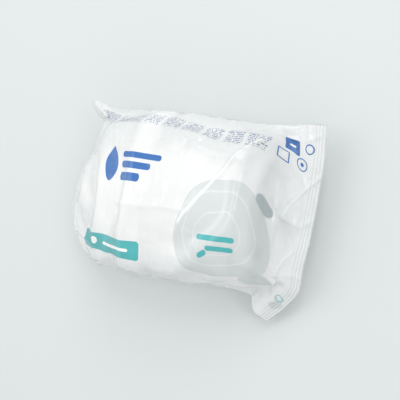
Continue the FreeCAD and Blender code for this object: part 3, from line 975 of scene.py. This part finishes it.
def group_at(tree, group, place):
    """A node for a group, fed with a place in mm."""
    node = tree.nodes.new("ShaderNodeGroup")
    node.node_tree = group
    tree.links.new(place, node.inputs["Place"])
    return node


def ink_mask(tree, place, shapes):
    """Joins the masks of printed shapes."""
    total = None
    for centre, half, corner_radius, turn, ring in shapes:
        shape_node = group_at(tree, printed_shape, place)
        shape_node.inputs["Centre"].default_value = (*centre, 0)
        shape_node.inputs["Half Size"].default_value = (*half, 0)
        shape_node.inputs["Corner"].default_value = corner_radius
        shape_node.inputs["Turn"].default_value = -math.radians(turn)
        shape_node.inputs["Ring"].default_value = ring
        mask = shape_node.outputs["Mask"]
        total = mask if total is None else maths(tree, "MAXIMUM", total, mask)
    return total


def mixed(tree, share, under, over):
    """Mixes two colours; each is a socket or four numbers."""
    node = tree.nodes.new("ShaderNodeMix")
    node.data_type = "RGBA"
    tree.links.new(share, node.inputs["Factor"])
    for name, value in (("A", under), ("B", over)):
        slot = next(item for item in node.inputs if item.name == name and item.type == "RGBA")
        if isinstance(value, tuple):
            slot.default_value = value
        else:
            tree.links.new(value, slot)
    return next(item for item in node.outputs if item.type == "RGBA")


def web_place(tree):
    """Place on the flat web in mm, from its own UV map."""
    reader = tree.nodes.new("ShaderNodeUVMap")
    reader.uv_map = "web_uv"
    scaled = vectors(tree, "MULTIPLY", reader.outputs["UV"], (LONG / MM, 2 * WIDE / MM, 0))
    return vectors(tree, "SUBTRACT", scaled, (LONG / 2 / MM, WIDE / 2 / MM, 0))


def kept_value(tree, name):
    """The number that the mesh keeps under a name."""
    reader = tree.nodes.new("ShaderNodeAttribute")
    reader.attribute_name = name
    return reader.outputs["Fac"]


def bumped(tree, shader, height, depth):
    """Feeds a height in mm to the shader's normal."""
    bump = tree.nodes.new("ShaderNodeBump")
    bump.inputs["Strength"].default_value = 1
    bump.inputs["Distance"].default_value = depth * MM
    tree.links.new(height, bump.inputs["Height"])
    tree.links.new(bump.outputs["Normal"], shader.inputs["Normal"])


film_finish, tree, shader = new_material("milky_film")
place = web_place(tree)
crinkle = group_at(tree, film_crinkle, place)
sharp = band(tree, kept_value(tree, "crease"), 0.3, 1.0)
# the film gets clearer between 1.5 and 12 mm off the cartridge
loose = band(tree, kept_value(tree, "lift"), 1.5, 12)
milk = mixed(tree, loose, MILK, THIN_MILK)
from_centre = maths(tree, "ABSOLUTE", split(tree, place)[0])
in_band_mask = band(tree, from_centre, band_start - 0.4, band_start + 0.4)
leaned = tree.nodes.new("ShaderNodeVectorRotate")
leaned.rotation_type = "Z_AXIS"
leaned.inputs["Angle"].default_value = math.radians(STRIP_LEAN)
tree.links.new(vectors(tree, "SUBTRACT", place, (*STRIP_CENTRE, 0)), leaned.inputs["Vector"])
strip = group_at(tree, small_print, leaned.outputs[0])
strip.inputs["Row Pitch"].default_value = 2.1
strip_field = ink_mask(tree, place, [(STRIP_CENTRE, STRIP_HALF, 0.5, -STRIP_LEAN, 0)])
strip_mask = maths(tree, "MULTIPLY", strip.outputs["Mask"], strip_field)
colour = mixed(tree, maths(tree, "MULTIPLY", ink_mask(tree, place, grey_ink), PALE_INK), milk, GREY)
colour = mixed(tree, maths(tree, "MULTIPLY", ink_mask(tree, place, grey_rings), PALE_INK), colour, MILK)
inked = strip_mask
for ink, tone in ((dark_ink, DARK), (teal_ink, TEAL), (blue_ink, BLUE)):
    mask = ink_mask(tree, place, ink)
    colour = mixed(tree, mask, colour, tone)
    inked = maths(tree, "MAXIMUM", inked, mask)
colour = mixed(tree, maths(tree, "MULTIPLY", strip_mask, PRINT_INK), colour, SMALL_PRINT)
colour = mixed(tree, ink_mask(tree, place, left_white), colour, MILK)
# painted highlight: along the creases the colour goes half-way to white, on top of the gloss their ridges
# catch
colour = mixed(tree, maths(tree, "MULTIPLY", sharp, CREASE_HIGHLIGHT_SHARE), colour, PAINTED_CREASE_HIGHLIGHT)
tree.links.new(colour, shader.inputs["Base Color"])
print("film colours:", len(inks), "inks on", len(tree.nodes), "nodes")

# %% How much the film covers, its gloss and its crinkles
TAUT_COVER = 0.86
FREE_LOSS = 0.34
BAND_GAIN = 0.1
INK_AND_CREASE_HIGHLIGHT_GAIN = 0.2
GLOSS = 0.04
BAND_DULL = 0.12
TAUT_CRINKLE = 0.9
FREE_CRINKLE = 1.2
CREASE_EDGE = 0.3
CRINKLE_DEPTH = 0.5
haze = crinkle.outputs["Haze"]
over_cartridge = maths(tree, "ADD", maths(tree, "MULTIPLY", haze, 0.06), TAUT_COVER)
cloudy = maths(tree, "SUBTRACT", over_cartridge, maths(tree, "MULTIPLY", loose, FREE_LOSS))
# ink covers more, and so do the creases, as part of their painted highlight
marked = maths(tree, "MULTIPLY", maths(tree, "MAXIMUM", inked, sharp), INK_AND_CREASE_HIGHLIGHT_GAIN)
more = maths(tree, "ADD", maths(tree, "MULTIPLY", in_band_mask, BAND_GAIN), marked)
tree.links.new(maths(tree, "ADD", cloudy, more, clamp=True), shader.inputs["Alpha"])
rough = maths(tree, "ADD", maths(tree, "MULTIPLY", haze, 0.12), GLOSS)
dull_band = maths(tree, "MULTIPLY", in_band_mask, BAND_DULL)
tree.links.new(maths(tree, "ADD", rough, dull_band), shader.inputs["Roughness"])
stronger = maths(tree, "MULTIPLY_ADD", loose, FREE_CRINKLE, TAUT_CRINKLE)
crinkled = maths(tree, "MULTIPLY", crinkle.outputs["Height"], stronger)
height = maths(tree, "ADD", crinkled, maths(tree, "MULTIPLY", sharp, CREASE_EDGE))
bumped(tree, shader, height, CRINKLE_DEPTH)
shader.inputs["IOR"].default_value = 1.5
print("film finish:", len(tree.nodes), "nodes")

# %% The fin's finish
RIB_PITCH = 1.5
FIN_SHADE = (0.86, 0.885, 0.875, 1)
fin_finish, tree, shader = new_material("milky_fin")
place = web_place(tree)
crinkle = group_at(tree, film_crinkle, place)
haze = crinkle.outputs["Haze"]
ribs = maths(tree, "SINE", maths(tree, "MULTIPLY", split(tree, place)[1], 2 * math.pi / RIB_PITCH))
tree.links.new(mixed(tree, haze, MILK, FIN_SHADE), shader.inputs["Base Color"])
tree.links.new(maths(tree, "ADD", maths(tree, "MULTIPLY", haze, 0.1), 0.7), shader.inputs["Alpha"])
shader.inputs["Roughness"].default_value = 0.25
bumped(tree, shader, maths(tree, "ADD", crinkle.outputs["Height"], maths(tree, "MULTIPLY", ribs, 0.3)), 0.3)
for piece, finish in ((film, film_finish), (back_fin, fin_finish)):
    piece.data.materials.clear()
    piece.data.materials.append(finish)
print("fin finish:", len(tree.nodes), "nodes")

# %% [markdown]
# ## The cartridge's finishes
#
# The housings are moulded from white plastic with a fine satin face. Screen, fleece and granules are only
# guessed at through the film, but each gets its own grain, read from object coordinates in real size.

# %% Moulded, woven and needled finishes
def object_place(tree):
    """Place on the object in mm."""
    reader = tree.nodes.new("ShaderNodeTexCoord")
    return vectors(tree, "MULTIPLY", reader.outputs["Object"], (1 / MM, 1 / MM, 1 / MM))


fine_grain, given, made = new_group("fine_grain")
socket(fine_grain, "Place", "NodeSocketVector", "INPUT")
socket(fine_grain, "Size", "NodeSocketFloat", "INPUT", 0.4)
socket(fine_grain, "Grain", "NodeSocketFloat", "OUTPUT")
socket(fine_grain, "Cloud", "NodeSocketFloat", "OUTPUT")
grain = fine_grain.nodes.new("ShaderNodeTexNoise")
fine_grain.links.new(given.outputs["Place"], grain.inputs["Vector"])
fine_grain.links.new(maths(fine_grain, "DIVIDE", 1.0, given.outputs["Size"]), grain.inputs["Scale"])
grain.inputs["Detail"].default_value = 2
fine_grain.links.new(grain.outputs["Fac"], made.inputs["Grain"])
fine_grain.links.new(noise(fine_grain, given.outputs["Place"], (1, 1, 1), 0.05, 2), made.inputs["Cloud"])


def grained(name, light, dark, size, depth, roughness):
    """A finish in two near tones, with a fine grain; its size and depth are in mm."""
    material, tree, shader = new_material(name)
    place = object_place(tree)
    grain = group_at(tree, fine_grain, place)
    grain.inputs["Size"].default_value = size
    tree.links.new(mixed(tree, grain.outputs["Cloud"], light, dark), shader.inputs["Base Color"])
    rough = maths(tree, "ADD", maths(tree, "MULTIPLY", grain.outputs["Grain"], 0.15), roughness - 0.07)
    tree.links.new(rough, shader.inputs["Roughness"])
    bumped(tree, shader, grain.outputs["Grain"], depth)
    return material, tree, shader, place


moulded, *_ = grained("moulded_white", (0.93, 0.94, 0.93, 1), (0.88, 0.895, 0.885, 1), 0.35, 0.03, 0.42)
woven, *_ = grained("woven_screen", (0.9, 0.91, 0.9, 1), (0.82, 0.83, 0.82, 1), 0.6, 0.06, 0.5)
needled, tree, shader, place = grained(
    "needled_fleece", (0.92, 0.92, 0.9, 1), (0.84, 0.84, 0.81, 1), 0.9, 0.2, 0.85
)
shader.inputs["Sheen Weight"].default_value = 0.3
print("grained finishes:", moulded.name, woven.name, needled.name)

# %% Pale and dark granules
BEAD = 0.9
PALE_SHARE = 0.6
PALE_BEAD = (0.86, 0.8, 0.68, 1)
DARK_BEAD = (0.07, 0.07, 0.075, 1)
granules, tree, shader, place = grained(
    "loose_granules", (0.8, 0.76, 0.68, 1), (0.7, 0.66, 0.58, 1), 0.5, 0.05, 0.7
)
beads = tree.nodes.new("ShaderNodeTexVoronoi")
beads.inputs["Scale"].default_value = 1 / BEAD
tree.links.new(place, beads.inputs["Vector"])
chance = vectors(tree, "DOT_PRODUCT", beads.outputs["Color"], (1, 0, 0))
is_dark = maths(tree, "GREATER_THAN", chance, PALE_SHARE)
tree.links.new(mixed(tree, is_dark, PALE_BEAD, DARK_BEAD), shader.inputs["Base Color"])
bumped(tree, shader, maths(tree, "SUBTRACT", 1.0, beads.outputs["Distance"]), 0.4)
finish_of = {
    "lower_housing": moulded, "upper_housing": moulded, "inlet_screen": woven,
    "outlet_fleece": needled, "filter_media": granules,
}
for name, finish in finish_of.items():
    nodes[name].data.materials.clear()
    nodes[name].data.materials.append(finish)
print("finishes:", [material.name for material in bpy.data.materials])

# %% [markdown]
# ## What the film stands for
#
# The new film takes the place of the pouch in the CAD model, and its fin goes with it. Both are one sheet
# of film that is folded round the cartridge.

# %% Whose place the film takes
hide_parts("film_pouch")
for piece in (film, back_fin):
    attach(piece, "root")
